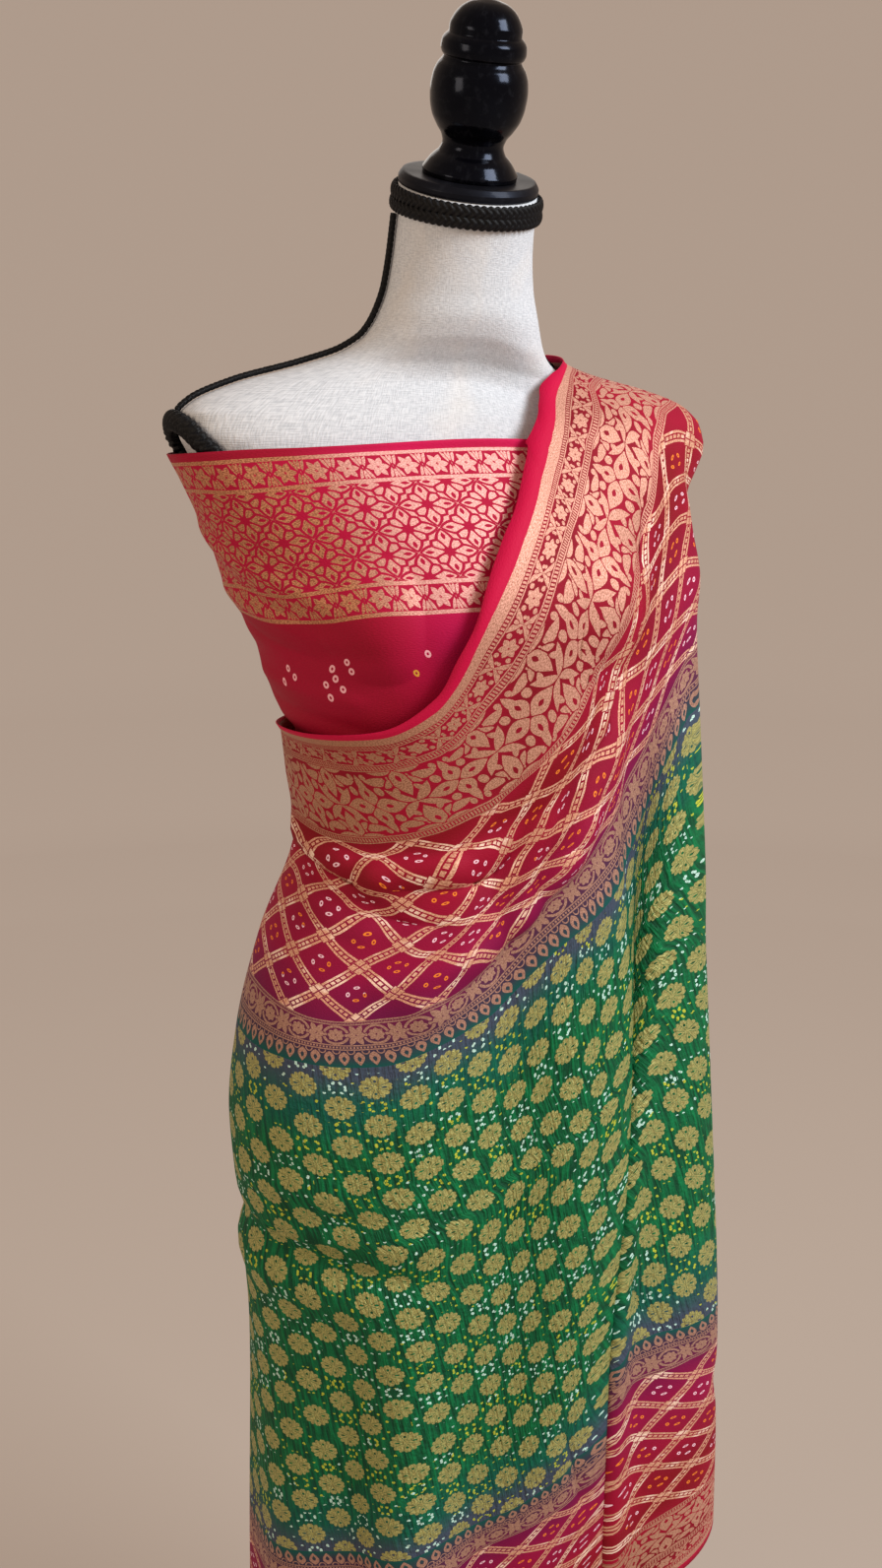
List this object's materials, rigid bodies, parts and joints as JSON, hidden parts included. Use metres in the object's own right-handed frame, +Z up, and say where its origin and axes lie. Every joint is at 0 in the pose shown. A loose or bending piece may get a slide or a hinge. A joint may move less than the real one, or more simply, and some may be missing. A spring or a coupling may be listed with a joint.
{
  "type": "banarasi sari draped on a dress form",
  "caption": "Long silk sari with gold brocade borders draped over one shoulder of a dress form, with a brocade wrap round the chest, on a pole and round base.",
  "frame": {"origin": "centre of the base's underside, on the floor, under the pole", "axes": "+Z up along the pole, -Y the way the form's front faces, +X towards the shoulder that carries the cloth"},
  "size_m": [0.4898, 0.36, 1.6918],
  "materials": {
    "sari_silk": "crinkled silk crepe, emerald field and crimson borders with matt gold brocade",
    "wrap_silk": "crimson silk with gold brocade bands",
    "linen": "off-white linen, stretched smooth",
    "braid": "black braided trim",
    "lacquer": "turned wood, glossy black lacquer",
    "stand": "satin black"
  },
  "bodies": {
    "root": {"sari": "sari_silk", "chest_wrap": "wrap_silk", "form_body": "linen", "neck_band": "braid", "right_cord": "braid", "left_cord": "braid", "arm_braid": "braid", "neck_cap": "lacquer", "knob": "lacquer", "collar": "stand", "pole": "stand", "base": "stand"}
  },
  "joints": []
}
